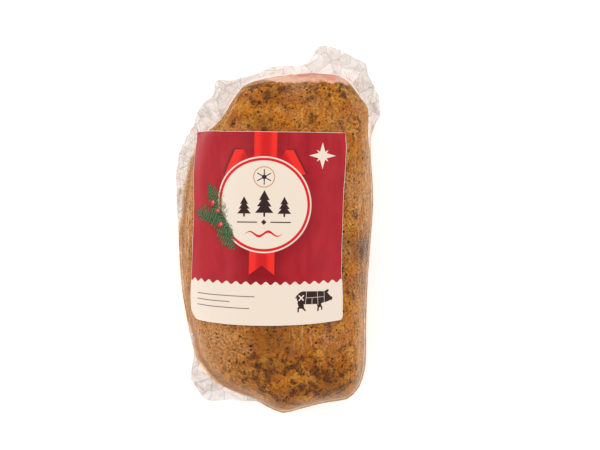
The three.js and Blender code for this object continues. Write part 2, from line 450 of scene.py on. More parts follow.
def crease_film(web, side):
    points = points_of(web)
    gap = standoff(points)
    loose = ease(gap, 0.9, 7.0)
    outside = beyond_ham(points)
    fin = ease(outside, -1.0, 3.0)
    flat = points * np.array([1, 1, 0.4])
    bearing = np.arctan2(points[:, 1], points[:, 0])
    lift = 0.35 * zigzag(bearing * GATHERS + 1.6 * soft_noise(flat, 14, 12))
    for height, spacing, ways, seed in CRUMPLES:
        lift += height * crumple(flat, spacing, ways, seed)
    strain = crumple(points * np.array([1, 0.35, 1]), 6, 3, 10)
    skin = TIGHT_RIPPLE * (2 + crumple(points, 5.0, 3, 8) + soft_noise(points, 2.1, 9))
    rise = (1 - loose) * skin + (1 - fin) * loose * BRIDGE_RIPPLE * (1 + strain)
    if side > 0:
        rise += (1 - 0.8 * fin) * pleat_height(points)
    moved = points + normals_of(web) * rise[:, None]
    moved[:, 2] += fin * loose * lift
    edge_bearing = bearing * 9 + 2.2 * soft_noise(flat, 22, 13)
    bite = SCALLOP * (1 + zigzag(edge_bearing)) + NIBBLE * (1 + zigzag(edge_bearing * 2.3))
    bite *= 1 - ease(points[:, 1], *STRAIGHT_EDGE)
    moved[:, :2] *= 1 - (bite * ease(outside, 2.0, 9.0) / np.hypot(*points[:, :2].T))[:, None]
    tug_corners(moved)
    moved[:, 2] = np.maximum(moved[:, 2], 0)
    move_points(web, moved)
    return gap


for web, side in ((upper_web, 1), (lower_web, -1)):
    gap = crease_film(web, side)
    take_up(web)
    bpy.ops.object.shade_smooth_by_angle(angle=math.radians(40))
    print(web.name, "stands off the ham by up to", round(float(gap.max()), 1), "mm")

# %% [markdown]
# The look of the film depends on where it is: hazy along a crease, smeared with juice where it
# leaves the ham, clear where it grips it. These measures are stored on the mesh, for the
# material to read. Then the open sheet gets its real thickness, which closes it into a solid.

# %% Measure the film, and give it its thickness
FILM = 0.12  # thickness in mm
SOAK = 3.9  # how far the juice creeps out from the ham, in mm
SOAK_AT_TOP = 0.8


def mark_creases(web):
    points = points_of(web)
    edges = read(web.data.edges, "vertices", 2, np.int32)
    total = np.zeros_like(points)
    count = np.zeros(len(points))
    for near, far in ((0, 1), (1, 0)):
        np.add.at(total, edges[:, near], points[edges[:, far]])
        np.add.at(count, edges[:, near], 1)
    bend = np.linalg.norm(total / np.maximum(count, 1)[:, None] - points, axis=1)
    print(web.name, "bends by up to", round(float(bend.max()), 2), "mm between neighbours")
    outside = beyond_ham(points)
    paint_attribute(web, "crease", ease(bend, 0.04, 0.25))
    paint_attribute(web, "fin", ease(outside, -0.5, 2.5))
    paint_attribute(web, "reach", np.clip(outside / 15, 0, 1))
    soak = SOAK + (SOAK_AT_TOP - SOAK) * ease(points[:, 1], *TOP_END)
    soak *= 1 + 0.45 * soft_noise(points, 12, 31)
    paint_attribute(web, "close", ease(outside, 0.2, 1.8) * (1 - ease(outside / soak, 0.5, 1)))


for web in (upper_web, lower_web):
    mark_creases(web)
    apply_modifier(web, "SOLIDIFY", thickness=FILM * MM, offset=-1)
    print(web.name, "faces:", len(web.data.polygons))

# %% [markdown]
# ## The label
#
# The label starts flat, as it was printed, and its print is laid out on it then: the UV map is
# simply the flat sheet. It is then laid on the film by walking over the drape, first along the
# ham and then across it, a short step at a time, so that the paper keeps its own lengths.

# %% Walk over the film
LABEL_SIZE = (89.3, 107.0)  # width and height in mm
LABEL_CENTRE = (-7.4, 0.9)
LABEL_TURN = math.radians(-0.7)
LABEL_BOW = 30.0  # how strongly the lower edge bows down in its middle
LABEL_FLARE = 5.5  # extra reach of the left side, down the flank, at the top and bottom
STRIDE = 0.5


def film_height(x, y):
    hit = film_drape.ray_cast(Vector((x, y, 100)), Vector((0, 0, -1)))[0]
    return WAIST if hit is None else hit.z


def walk(x, y, heading, distances):
    """Places reached after each of the rising distances, walking over the film."""
    found = []
    gone = 0.0
    height = film_height(x, y)
    for distance in distances:
        while gone < distance - 1e-6:
            stride = min(STRIDE, distance - gone)
            ahead = film_height(x + stride * math.cos(heading), y + stride * math.sin(heading))
            advance = stride / math.hypot(1, (ahead - height) / stride)
            x += advance * math.cos(heading)
            y += advance * math.sin(heading)
            height = film_height(x, y)
            gone += stride
        found.append((x, y, height))
    return found


def label_row(v):
    """Places to the left and right of the row's middle, in equal steps out to both ends."""
    steps = np.linspace(0, 1, 141)
    half = LABEL_SIZE[0] / 2
    up = LABEL_TURN + math.copysign(math.pi / 2, v)
    x, y, _ = walk(*LABEL_CENTRE, up, [max(abs(v), 1e-3)])[0]
    flare = LABEL_FLARE * (2 * v / LABEL_SIZE[1]) ** 2
    right = walk(x, y, LABEL_TURN, steps * half)
    left = walk(x, y, LABEL_TURN + math.pi, steps * (half + flare))
    return steps * half, np.array(left), np.array(right)


label_width, label_height = LABEL_SIZE
rows = np.linspace(-label_height / 2, label_height / 2, 109)
lanes = [label_row(v) for v in rows]
reach, lefts, rights = lanes[0][0], [lane[1] for lane in lanes], [lane[2] for lane in lanes]
print("rows walked:", len(rows))

# %% Lay the flat label on the film
LABEL_CELLS = (130, 154)
LABEL_CORNER = 2.2
WORN_CORNER = 6.5  # the lower left corner is rubbed rounder

bpy.ops.object.select_all(action="DESELECT")
bpy.ops.mesh.primitive_grid_add(x_subdivisions=LABEL_CELLS[0], y_subdivisions=LABEL_CELLS[1],
                                size=1, calc_uvs=True)
label = bpy.context.object
label.name = label.data.name = "paper_label"
flat = points_of(label) * MM * np.array([label_width, label_height, 0])


def round_corners(flat):
    lower_left = (flat[:, 0] < 0) & (flat[:, 1] < 0)
    radius = np.where(lower_left, WORN_CORNER, LABEL_CORNER)
    over = np.abs(flat[:, :2]) - (np.array(LABEL_SIZE) / 2 - radius[:, None])
    reach = np.hypot(*np.maximum(over, 0).T)
    corner = (over > 0).all(axis=1) & (reach > radius)
    trim = np.where(corner, 1 - radius / np.maximum(reach, 1e-9), 0)
    flat[:, :2] -= np.sign(flat[:, :2]) * np.maximum(over, 0) * trim[:, None]


round_corners(flat)
bow = np.where(flat[:, 1] < 0,
               LABEL_BOW * (flat[:, 0] / label_width) ** 2 * (flat[:, 1] / label_height), 0)
row_at = np.interp(flat[:, 1] - bow, rows, np.arange(len(rows)))


def laid(u, row):
    low = min(int(row), len(rows) - 2)
    share = row - low
    side = lefts if u < 0 else rights
    both = [[np.interp(abs(u), reach, side[r][:, axis]) for axis in range(3)]
            for r in (low, low + 1)]
    return np.array(both[0]) * (1 - share) + np.array(both[1]) * share


placed = np.array([laid(u, row) for u, row in zip(flat[:, 0], row_at)])
uv = label.data.uv_layers.active
uv.name = "flat_sheet"
corners = read(label.data.loops, "vertex_index", 1, np.int32)[:, 0]
sheet = flat[corners, :2] / np.array(LABEL_SIZE) + 0.5
uv.data.foreach_set("uv", sheet.astype(np.float32).ravel())
move_points(label, placed)
print("label spans in mm:", placed.min(0).round(1), placed.max(0).round(1))

# %% [markdown]
# Paper takes on the folds of what it is stuck to, softened, and its right edge has come loose and
# curls up. It lies just clear of the film, because two surfaces in one place would flicker.

# %% Pleat the paper, raise its loose edge and give it its thickness
LABEL_LIFT = 0.8  # how far it lies above the smooth film, in mm
PAPER = 0.16
PLEAT_DEPTH = 0.22  # how far the pleats of the film press through the paper, in mm
EDGE_CURL = 0.9

upright_pleats = np.stack([flat[:, 0], flat[:, 1] * 0.12, flat[:, 2]], axis=1)
pressed = PLEAT_DEPTH * soft_noise(upright_pleats, 7, 21)
pressed += 0.5 * PLEAT_DEPTH * soft_noise(upright_pleats, 3.4, 22)
pressed += 0.1 * soft_noise(flat, 4.5, 23)
at_edge = ease(flat[:, 0], label_width / 2 - 5, label_width / 2)
curl = EDGE_CURL * at_edge * ease(soft_noise(flat, 19, 24), -0.1, 0.5)
lift = LABEL_LIFT + pressed + curl
move_points(label, placed + normals_of(label) * lift[:, None])
apply_modifier(label, "SOLIDIFY", thickness=PAPER * MM, offset=-1)
take_up(label)
bpy.ops.object.shade_smooth_by_angle(angle=math.radians(40))
print("label faces:", len(label.data.polygons))

# %% [markdown]
# ## Materials by formula
#
# A procedural material is a formula drawn with nodes, and a long one is hard to read as boxes
# and noodles. Here a `Wire` is a node's output that can stand in a sum: `a + b` puts down a Math
# node and joins it up.

# %% Wires


def tint(red, green, blue):
    """A colour given the way paint programs do, from 0 to 255, as the renderer wants it."""
    shares = [c / 255 for c in (red, green, blue)]
    return tuple(c / 12.92 if c < 0.04045 else ((c + 0.055) / 1.055) ** 2.4
                 for c in shares) + (1.0,)


class Wire:
    """A node's output that can be used in a formula."""

    def __init__(self, tree, socket):
        self.tree = tree
        self.socket = socket

    def math(self, operation, *others):
        return put(self.tree, "Math", dict(enumerate((self, *others))), operation=operation)

    def __add__(self, other):
        return self.math("ADD", other)

    def __sub__(self, other):
        return self.math("SUBTRACT", other)

    def __mul__(self, other):
        return self.math("MULTIPLY", other)

    def __truediv__(self, other):
        return self.math("DIVIDE", other)

    def __abs__(self):
        return self.math("ABSOLUTE")

    def __neg__(self):
        return self * -1

    def least(self, other):
        return self.math("MINIMUM", other)

    def most(self, other):
        return self.math("MAXIMUM", other)

    def fraction(self):
        return self.math("FRACT")

    def coat(self, share, paint, way="MIX"):
        """Lays a coat of paint over this colour, as thick as share."""
        mix = put(self.tree, "Mix", {0: share, 6: self, 7: paint}, output=2,
                  data_type="RGBA", blend_type=way)
        self.socket = mix.socket

    def blend(self, under, over):
        """One colour where this wire is 0, the other where it is 1."""
        return put(self.tree, "Mix", {0: self, 6: under, 7: over}, output=2, data_type="RGBA")

    def axes(self, count):
        """The first two or all three coordinates of a place."""
        return [put(self.tree, "SeparateXYZ", {0: self}, output=i) for i in range(count)]

    def noise(self, size, detail=2.0, rough=0.5, offset=0.0, stretch=(1, 1, 1)):
        """Noise at a place, from 0 to 1, with lumps about size millimetres across."""
        moved = put(self.tree, "Mapping", {"Vector": self, "Scale": stretch,
                                           "Location": (offset, 0.7 * offset, 0)})
        return put(self.tree, "TexNoise", {"Vector": moved, "Scale": 1 / size,
                                           "Detail": detail, "Roughness": rough})

    def cells(self, size, output=0, **settings):
        """Voronoi cells at a place, about size millimetres across."""
        return put(self.tree, "TexVoronoi", {"Vector": self, "Scale": 1 / size}, output,
                   **settings)

    def within(self, softness=0.12):
        """1 where a distance is below 0 and 0 above it, with a soft edge."""
        return (self / -softness + 0.5).most(0.0).least(1.0)

    def between(self, low, high):
        """0 below low, 1 above high and smooth in between."""
        return put(self.tree, "MapRange", {0: self, 1: low, 2: high},
                   interpolation_type="SMOOTHSTEP")


def put(tree, kind, plugs, output=0, **settings):
    """Puts down a node, joins its inputs and gives back one of its outputs."""
    node = tree.nodes.new("ShaderNode" + kind)
    for name, value in settings.items():
        setattr(node, name, value)
    for name, value in plugs.items():
        if isinstance(value, Wire):
            tree.links.new(value.socket, node.inputs[name])
        else:
            node.inputs[name].default_value = value
    return Wire(tree, node.outputs[output])


print("middle grey, as the renderer wants it:", round(tint(128, 128, 128)[0], 3))

# %% Distances to flat shapes


def distance(u, v, centre):
    """How far each place is from a point."""
    du, dv = u - centre[0], v - centre[1]
    return (du * du + dv * dv).math("SQRT")


def capsule(u, v, start, end, radius):
    """Distance to a rod with round ends: negative inside it."""
    run = (end[0] - start[0], end[1] - start[1])
    square = run[0] ** 2 + run[1] ** 2
    du, dv = u - start[0], v - start[1]
    share = (du * (run[0] / square) + dv * (run[1] / square)).most(0.0).least(1.0)
    across, up = du - share * run[0], dv - share * run[1]
    return (across * across + up * up).math("SQRT") - radius


# %% Begin and end a material


def new_material(name):
    material = bpy.data.materials.new(name)
    material.use_nodes = True
    material.node_tree.nodes.clear()
    return material, material.node_tree


def finish_with(tree, shader):
    output = tree.nodes.new("ShaderNodeOutputMaterial")
    tree.links.new(shader.socket, output.inputs["Surface"])


def in_millimetres(tree):
    """The object's own coordinates, in millimetres."""
    place = put(tree, "TexCoord", {}, output="Object")
    return put(tree, "Mapping", {"Vector": place, "Scale": (1 / MM, 1 / MM, 1 / MM)})


# %% [markdown]
# ## The crust
#
# The crust is mustard, sugar and crumbs that have browned unevenly. Close to, it has four layers:
# broad patches of tone, from tan to dark brown, a purplish bloom where the meat shows through, a
# grain of crumbs, and dark burnt specks. Each is a noise of its own size.
# Some wide patches are also made paler and some browner.
# The cut end has no crust. It is pink lean meat with pale seams of fat.

# %% Colours and wide patches of the crust
GOLD = tint(232, 146, 24)
TAN = tint(246, 180, 84)
SIDE_HIGHLIGHT_TAN = tint(250, 188, 98)
BROWN = tint(184, 102, 12)
OLIVE = tint(202, 138, 20)
BURNT = tint(72, 34, 5)
BLOOM = tint(200, 122, 78)
CRUMB = tint(36, 16, 5)
SPECK = tint(76, 36, 8)
GRAIN_DARK = tint(160, 134, 106)
GRAIN_LIGHT = tint(242, 238, 229)
LEAN = tint(252, 204, 178)
DEEP_LEAN = tint(244, 160, 146)
FAT = tint(252, 218, 186)

# Where the glaze is made paler and where browner: the middle of each
# patch in plan, how far it reaches and how strong it is, in mm.
PALER_PATCHES = [
    ((-35, -63), 29, 0.92),
    ((-42, -76), 14, 0.42),
    ((31, -61), 15, 0.40),
    ((13, 80), 14, 0.62),
    ((41, 22), 17, 0.68),
    ((33, 59), 15, 0.38),
    ((38, -11), 10, 0.66),
]
BROWNER_PATCHES = [
    ((-2, -59), 21, 0.70),
    ((-3, -75), 14, 0.56),
    ((49, -10), 16, 0.90),
    ((48, -28), 12, 0.55),
    ((29, -86), 18, 0.62),
    ((2, -92), 15, 0.48),
    ((-3, 74), 12, 0.40),
    ((21, 71), 10, 0.30),
    ((-7, 59), 13, 0.38),
]
CRUST_ENDS = (81.9, 83.3)  # the crust stops between these lengths and bare meat begins
PALE_GLAZE = tint(226, 166, 106)
BROWN_GLAZE = tint(112, 60, 10)


def patches(x, y, places):
    """How much of a patch lies at each spot, from 0 to 1."""
    strongest = None
    for middle, reach, strength in places:
        share = distance(x, y, middle).between(reach, 0) * strength
        strongest = share if strongest is None else strongest.most(share)
    return strongest


print("wide patches:", len(PALER_PATCHES) + len(BROWNER_PATCHES))

# %% Mix the crust


def crust_material():
    material, tree = new_material("ham_crust")
    place = in_millimetres(tree)
    x, y, z = place.axes(3)

    tone = place.noise(13, 3, 0.6)
    colour = tone.between(0.30, 0.58).blend(BROWN, GOLD)
    light = place.noise(8, 3, 0.6, offset=40)
    colour.coat(light.between(0.46, 0.66) * 0.72, TAN)
    bloom = place.noise(10, offset=90)
    pinker = (-x - y * 0.6).between(30, 80)
    colour.coat((bloom + pinker * 0.08).between(0.50, 0.68) * 0.5, BLOOM)
    yellower = place.noise(15, offset=110)
    colour.coat(yellower.between(0.50, 0.62) * 0.3, OLIVE)
    scorch = place.noise(6, 2, 0.55, offset=130)
    near_end = y.between(66, 77).most(y.between(-64, -80))
    burnt = (scorch + near_end * 0.10).between(0.55, 0.69)
    colour.coat(burnt * 0.80, BURNT)
    uneven = tone * 1.2 + 0.4
    colour.coat(patches(x, y, PALER_PATCHES) * uneven, PALE_GLAZE)
    browner = patches(x, y, BROWNER_PATCHES)
    colour.coat(browner * uneven, BROWN_GLAZE)
    # The steep sides are painted paler, a painted highlight, less so where the crust is browner.
    slope = put(tree, "Attribute", {}, output="Fac", attribute_name="slope")
    colour.coat(slope.between(0.3, 0.85) * (browner * -0.5 + 0.5), SIDE_HIGHLIGHT_TAN)

    grain = place.noise(1.2, 3, 0.62, offset=10)
    salt = grain.between(0.34, 0.60).blend(GRAIN_DARK, GRAIN_LIGHT)
    colour.coat(0.9, salt, "MULTIPLY")
    streak = place.noise(2.6, offset=60, stretch=(1, 0.3, 1))
    colour.coat(streak.between(0.50, 0.70) * 0.6, BROWN)
    chance = place.noise(3.1, 1, 0.5, offset=25)
    speck = place.cells(1.5)
    fine = (speck - 0.29).within(0.14) * (chance + near_end * 0.05).between(0.42, 0.54)
    colour.coat(fine * 0.8, SPECK)
    crumb = place.cells(2.9)
    dark = (crumb - 0.23).within(0.08) * (chance + near_end * 0.12).between(0.47, 0.56)
    colour.coat(dark * 0.85, CRUMB)
    big = place.cells(7.5)
    colour.coat((big - 0.11).within(0.04) * 0.9, CRUMB)

    seam = place.noise(7, 3, 0.6, offset=200, stretch=(0.5, 1, 1.4))
    meat = (seam - x.between(6, 30) * 0.12).between(0.35, 0.6).blend(DEEP_LEAN, LEAN)
    vein = abs(place.noise(12, 2, 0.6, offset=210, stretch=(0.45, 1, 1.3)) - 0.5)
    meat.coat((vein - 0.03).within(0.05) * 0.7, FAT)
    ragged = place.noise(9, 3, 0.6, offset=220) - 0.5
    brim = y + ragged * 7 + x * 0.05
    cut = brim.between(*CRUST_ENDS)
    colour.coat(cut * 0.85, meat)
    colour.coat((abs(y + ragged * 5 - 86.0) - 0.4).within(1.0) * 0.75, BROWN)
    under = (z + ragged * 14).between(15, 6)
    colour.coat(under * 0.75, meat)

    bump = put(tree, "Bump", {"Strength": 0.5, "Distance": 0.6 * MM,
               "Height": grain + fine * 0.4 + light * 0.8}, output="Normal")
    shader = put(tree, "BsdfPrincipled", {"Base Color": colour, "Roughness": 0.55,
                 "Specular IOR Level": 0.08, "Normal": bump})
    finish_with(tree, shader)
    return material


ham.data.materials.append(crust_material())
print("crust nodes:", len(ham.data.materials[0].node_tree.nodes))

# %% [markdown]
# ## The clear film
#
# Thin film hardly bends light, so it needs no glass: light mostly goes straight through it. What
# the eye sees of it is gloss, which grows at a slant, a slight milky haze, and creases, where the
# haze gathers. Loose film is crushed into small flat facets, and each catches a little more or
# less light: this is painted, as more or less haze in the cells of a Voronoi texture, with the
# folds between the cells painted as darker grey lines, a painted shade. The pleats get a painted
# highlight. Mustard and juice colour it next to the ham.

# %% Mix the film
CLEAR = (0.988, 0.984, 0.98, 1)
JUICY_CLEAR = (0.95, 0.84, 0.69, 1)
MILKY = tint(226, 216, 208)
FOLD_SHADE_GREY = tint(158, 146, 136)
JUICE_DARK = tint(170, 104, 44)
JUICE_LIGHT = tint(240, 184, 112)
PLEAT_HIGHLIGHT_TAN = tint(244, 216, 178)

# Share of the light that each thing in the film scatters, or that its gloss sends back. The facet
# and fold shares paint light and shade into the haze, and the pleat share a highlight.
WIDE_FACET_SHADE, SMALL_FACET_SHADE, FOLD_SHADE_HAZE, CREASE_HAZE = 0.19, 0.11, 0.07, 0.06
FIN_HAZE, CLEAR_HAZE, JUICE_HAZE, PLEAT_HIGHLIGHT_HAZE = 0.02, 0.002, 0.17, 0.24
FACE_GLOSS, SLANT_GLOSS = 0.007, 0.14


def plan_of(tree, place):
    """The place seen from above, so that both webs fold along the same lines, a little bent."""
    flat = put(tree, "VectorMath", {0: place, 1: (1, 1, 0)}, operation="MULTIPLY", output=0)
    swirl = put(tree, "TexNoise", {"Vector": flat, "Scale": 1 / 13, "Detail": 2.0},
                output="Color")
    return put(tree, "VectorMath", {0: swirl, 1: (9, 9, 0), 2: flat}, operation="MULTIPLY_ADD")


def folds(bent, size):
    """A sheet crumpled into flat facets: a painted shade for each, how high it is and how near its
    edge.
    """
    tone = bent.cells(size, "Color")
    edge = bent.cells(size, feature="DISTANCE_TO_EDGE")
    return tone.math("POWER", 1.5), bent.cells(size), edge


# Thin lines along the pleats, where the film paints a highlight.
def pleat_lines(place):
    wander = place.noise(7, offset=300) - 0.5
    x, y = (axis + wander * 4 for axis in place.axes(2))
    lines = None
    for start, end, _, _ in PLEATS:
        line = capsule(x, y, start, end, 0.1).within(0.7)
        lines = line if lines is None else lines.most(line)
    return lines


def film_material():
    material, tree = new_material("clear_film")
    place = in_millimetres(tree)
    crease, fin, reach, close = (put(tree, "Attribute", {}, output="Fac", attribute_name=name)
                                 for name in ("crease", "fin", "reach", "close"))
    bent = plan_of(tree, place)
    wide_shading, wide_height, wide_edge = folds(bent, 11)
    small_shading, small_height, small_edge = folds(bent, 4.6)
    # The lines between the facets are painted darker grey: a painted shade along the folds.
    line = (wide_edge - 0.018).within(0.03).most((small_edge - 0.015).within(0.06) * 0.6)
    ripple = place.noise(5, offset=50)
    height = (wide_height * 2.4 + small_height * 1.1) * fin + ripple * 0.5
    bump = put(tree, "Bump", {"Strength": 0.8, "Distance": MM, "Height": height},
               output="Normal")

    strands = place.noise(3.2, 3, 0.65, offset=70, stretch=(1, 0.45, 1))
    blotches = place.noise(16, offset=75)
    farther = fin * reach.between(0.7, 0.1) * blotches.between(0.50, 0.62) * 0.75
    juicy = (close * strands.between(0.26, 0.46)).most(farther * strands.between(0.46, 0.60))
    through = put(tree, "BsdfTransparent", {"Color": juicy.blend(CLEAR, JUICY_CLEAR)})

    # Pale tan lines along the pleats, over the ham and down its right side, are a painted
    # highlight.
    long_strands = abs(place.noise(5, offset=80, stretch=(1, 0.12, 1)) - 0.5)
    x = place.axes(1)[0]
    side_pleats = (long_strands - 0.010).within(0.016) * abs(x + 1.5).between(42, 47)
    pleat_highlight = pleat_lines(place).most(side_pleats * 0.8)
    colour = (line * 0.6).blend(MILKY, FOLD_SHADE_GREY)
    grain = place.noise(1.6, 3, 0.65, offset=90, stretch=(1, 0.6, 1))
    juice = grain.between(0.36, 0.62).blend(JUICE_DARK, JUICE_LIGHT)
    colour.coat(juicy * 0.9, juice)
    colour.coat(pleat_highlight, PLEAT_HIGHLIGHT_TAN)
    haze = put(tree, "BsdfDiffuse", {"Color": colour, "Normal": bump})
    # Facets get more or less haze: painted light and shade for the way each would catch the light.
    facet_shading = wide_shading * WIDE_FACET_SHADE + small_shading * SMALL_FACET_SHADE + line * FOLD_SHADE_HAZE
    amount = fin * (facet_shading + FIN_HAZE + crease * CREASE_HAZE)
    amount = amount + juicy * JUICE_HAZE + pleat_highlight * PLEAT_HIGHLIGHT_HAZE + CLEAR_HAZE
    body = put(tree, "MixShader", {0: amount, 1: through, 2: haze})
    gloss = put(tree, "BsdfGlossy", {"Roughness": 0.16, "Normal": bump})
    facing = put(tree, "LayerWeight", {"Blend": 0.5, "Normal": bump}, output="Facing")
    slant = facing.math("POWER", 5.0) * SLANT_GLOSS + FACE_GLOSS
    shader = put(tree, "MixShader", {0: slant, 1: body, 2: gloss})
    finish_with(tree, shader)
    return material


clear_film = film_material()
for web in (upper_web, lower_web):
    web.data.materials.append(clear_film)
print("film nodes:", len(clear_film.node_tree.nodes))

# %% [markdown]
# ## The printed label
#
# The print is deep red over a cream foot, with a round cream badge on a bright red ribbon, a
# sprig of fir with berries, and a small drawing of a pig's cuts. All of it is flat shapes, so each
# is a distance formula on the flat sheet: a circle, a rod, a wave. Such a shape stays sharp at
# any size. The words and marks of a real label are left out, and plain ornaments stand in.

# %% Inks and places, in mm from the label's middle
PAPER_WHITE = tint(250, 246, 240)
CREAM = tint(245, 228, 210)
DEEP_RED = tint(186, 34, 46)
WINE = tint(138, 8, 24)
LIT_RED = tint(188, 46, 54)
RIBBON = tint(250, 48, 38)
RIBBON_SHADE = tint(204, 22, 30)
RING_RED = tint(226, 26, 34)
INK = tint(52, 34, 32)
COPPER = tint(214, 150, 104)
FIR = tint(46, 80, 44)
FIR_DARK = tint(30, 50, 34)
FIR_LIGHT = tint(122, 152, 104)
BERRY = tint(216, 50, 52)
BERRY_SHINE = tint(255, 150, 140)

BADGE = (-0.2, 13.05)
BADGE_RADIUS = 26.6
BADGE_SQUEEZE = 1.025  # how much higher than wide the badge is
WAVE = 5.3
FOOT = -30.2  # height of the wavy line above which the sheet is red
SPRIG_TWIGS = [
    ((-24.5, 2.0), (-31.6, 24.0), 5.0),
    ((-23.0, 2.5), (-42.0, 9.0), 5.2),
    ((-29.0, 11.0), (-16.6, -11.5), 5.2),
    ((-26.0, 6.5), (-17.6, -4.0), 4.0),
]
BERRIES = [(-29.8, 13.7), (-26.6, 9.5), (-24.9, 1.8)]
print("badge across in mm:", round(2 * BADGE_RADIUS, 1))

# %% [markdown]
# The ground comes first and each later shape is laid over it, as a printer lays down inks. Red
# ink is never quite even: it is mottled. Over the mottle, the red is painted lighter towards the
# left and right edges, a painted sheen, and lighter and darker in soft upright streaks, painted
# light and shade where the paper is pleated. A printed shadow round the badge makes the badge seem
# to stand out.

# %% Red ground and wavy foot


def red_field(u, v, place):
    mottle = place.noise(9, stretch=(1, 0.5, 1))
    colour = mottle.between(0.3, 0.7).blend(WINE, DEEP_RED)
    colour.coat(0.62, DEEP_RED)
    # Soft upright streaks, lighter and darker: painted light and shade of the paper's pleats.
    pleat_light_and_shade = place.noise(7, offset=170, stretch=(1, 0.1, 1))
    colour.coat(pleat_light_and_shade.between(0.52, 0.68) * 0.3, LIT_RED)
    colour.coat(pleat_light_and_shade.between(0.46, 0.34) * 0.3, WINE)
    # Lighter towards the left and right edges: a painted sheen.
    colour.coat(u.between(-12, -40) * 0.55, LIT_RED)
    colour.coat(u.between(22, 44) * 0.3, LIT_RED)
    shade = distance(u, v, (BADGE[0] + 1.5, BADGE[1] - 1.8)).between(35, 25)
    beside = abs(u + 0.8).between(19, 6)
    colour.coat((shade * 0.35 + beside * 0.55).least(0.75), WINE)
    return colour


def wavy_foot(u, v, colour):
    line = (u * (2 * math.pi / WAVE)).math("SINE") * 0.85 + FOOT
    colour.coat((v - line).within(), CREAM)


# %% [markdown]
# The ribbon is drawn as folded satin: bright along its edges, darker in its hollows. It runs from
# the top edge to the badge, with two loops of a bow beside it and a swallow tail below.

# %% Ribbon and bow


def ribbon(u, v, colour):
    """The ribbon down to the badge, and its swallow-tailed end below it."""
    across = abs(u - v * 0.014)
    folds = (across - 1.2).between(3.2, 0) * 0.8 + across.between(4.8, 6.2) * 0.3
    cloth = folds.blend(RIBBON, RIBBON_SHADE)
    band = (across - 6.05).within() * (-v + 20).within()
    colour.coat(band, cloth)
    aside = abs(u + 1.0)
    shade = (aside - 7.2).within(2.5) * (-v - 27.0).within(2.5) * (v + 12).within()
    colour.coat(shade * 0.6, WINE)
    tail = (aside - 6.9).within() * (-v - 20.3 - aside * 0.77).within() * v.between(0, -1)
    ends = (aside.between(4.5, 1.5) * 0.8).blend(RIBBON, RIBBON_SHADE)
    colour.coat(tail, ends)


def bows(u, v, colour):
    """The two loops of the bow, which come out from behind the badge."""
    for side, top, foot in ((-1, (-13.0, 43.2), (-18.9, 29.8)), (1, (13.3, 43.3), (20.0, 30.0))):
        lean = (foot[0] - top[0]) / (foot[1] - top[1])
        across = (u - top[0] - (v - top[1]) * lean) * side
        above = (-v + 29.6 + across * 0.15).within()
        inner = (v - 43.2).within(0.8) * across.within(0.5) * (u * side).between(4, 6)
        inner = inner * v.between(14, 24)
        glow = (u * side).between(16, 6) * v.between(45, 37)
        colour.coat(inner * 0.5, WINE)
        colour.coat(inner * glow * 0.75, RIBBON_SHADE)
        spot = (distance(u, v, (foot[0] + side * 1.4, foot[1] - 0.8)) - 0.4).within(2.2)
        colour.coat(spot * 0.85, INK)
        shadow = across.between(5.0, 2.0) * across.between(-1, 1) * above
        colour.coat(shadow * (v - 43.8).within(1.4) * 0.8, INK)
        cloth = across.between(-4.5, -0.5).blend(RIBBON_SHADE, RIBBON)
        widening = (v * 0.9 - across - 41.1).within()
        band = (across - 2.4).within() * widening * (v - 43.2).within() * above
        colour.coat(band, cloth)


# %% [markdown]
# The badge is two rings round one middle. What a maker would print inside it is left to plain
# ornaments of about the same weight, so that the sheet keeps its balance of light and dark.

# %% Badge and its ornaments


def badge(u, v, colour):
    far = distance((u - BADGE[0]) * BADGE_SQUEEZE + BADGE[0], v, BADGE)
    colour.coat((far - BADGE_RADIUS).within(), CREAM)
    colour.coat((abs(far - BADGE_RADIUS + 1.55) - 0.74).within(), RING_RED)


def ornaments(u, v, colour):
    """A small star in a ring, three fir trees, a rule and a red flourish."""
    star_at = (BADGE[0], BADGE[1] + 15.2)
    far = distance(u, v, star_at)
    colour.coat((abs(far - 5.6) - 0.28).within(), COPPER)
    for turn in range(3):
        angle = math.pi * turn / 3
        arm = (4.0 * math.sin(angle), 4.0 * math.cos(angle))
        rod = capsule(u, v, (star_at[0] - arm[0], star_at[1] - arm[1]),
                      (star_at[0] + arm[0], star_at[1] + arm[1]), 0.28)
        colour.coat(rod.within(), INK)
    colour.coat((far - 1.25).within(), INK)

    foot = BADGE[1] - 6.2
    for middle, size in ((-11.0, 10.5), (0.0, 14.0), (11.0, 10.5)):
        tree_shape = capsule(u, v, (middle, foot), (middle, foot + 2), 0.5)
        for tier in range(3):
            base = foot + size * (0.12 + 0.25 * tier)
            half = size * (0.36 - 0.075 * tier)
            rise = size * (0.46 - 0.03 * tier)
            slope = abs(u - middle) * (rise / half) + v - (base + rise)
            tier_shape = (slope * (half / rise)).most(-v + base)
            tree_shape = tree_shape.least(tier_shape)
        colour.coat(tree_shape.within(0.15), INK)

    rule = BADGE[1] - 9.6
    ru, bar = abs(u - BADGE[0]), abs(v - rule)
    stroke = (bar - 0.32).within() * (abs(ru - 9.2) - 5.6).within()
    diamond = (ru + bar - 1.5).within()
    colour.coat(stroke.most(diamond), INK)

    swash_v = BADGE[1] - 16.0
    swing = ((u - BADGE[0]) * 0.62).math("SINE") * 1.25 + swash_v
    taper = abs(u - BADGE[0]).between(10.5, 3) * 0.55 + 0.16
    swash = (abs(v - swing) - taper).within() * (abs(u - BADGE[0]) - 10.2).within()
    colour.coat(swash, RING_RED)


# %% [markdown]
# A fir twig has rows of needles that slant forward from its stem. Counting along the stem in
# steps gives every needle a number, and white noise turns the number into a length of its own.
# Three rows lie over each other, dark, green and light.

# %% Sprig of fir with berries


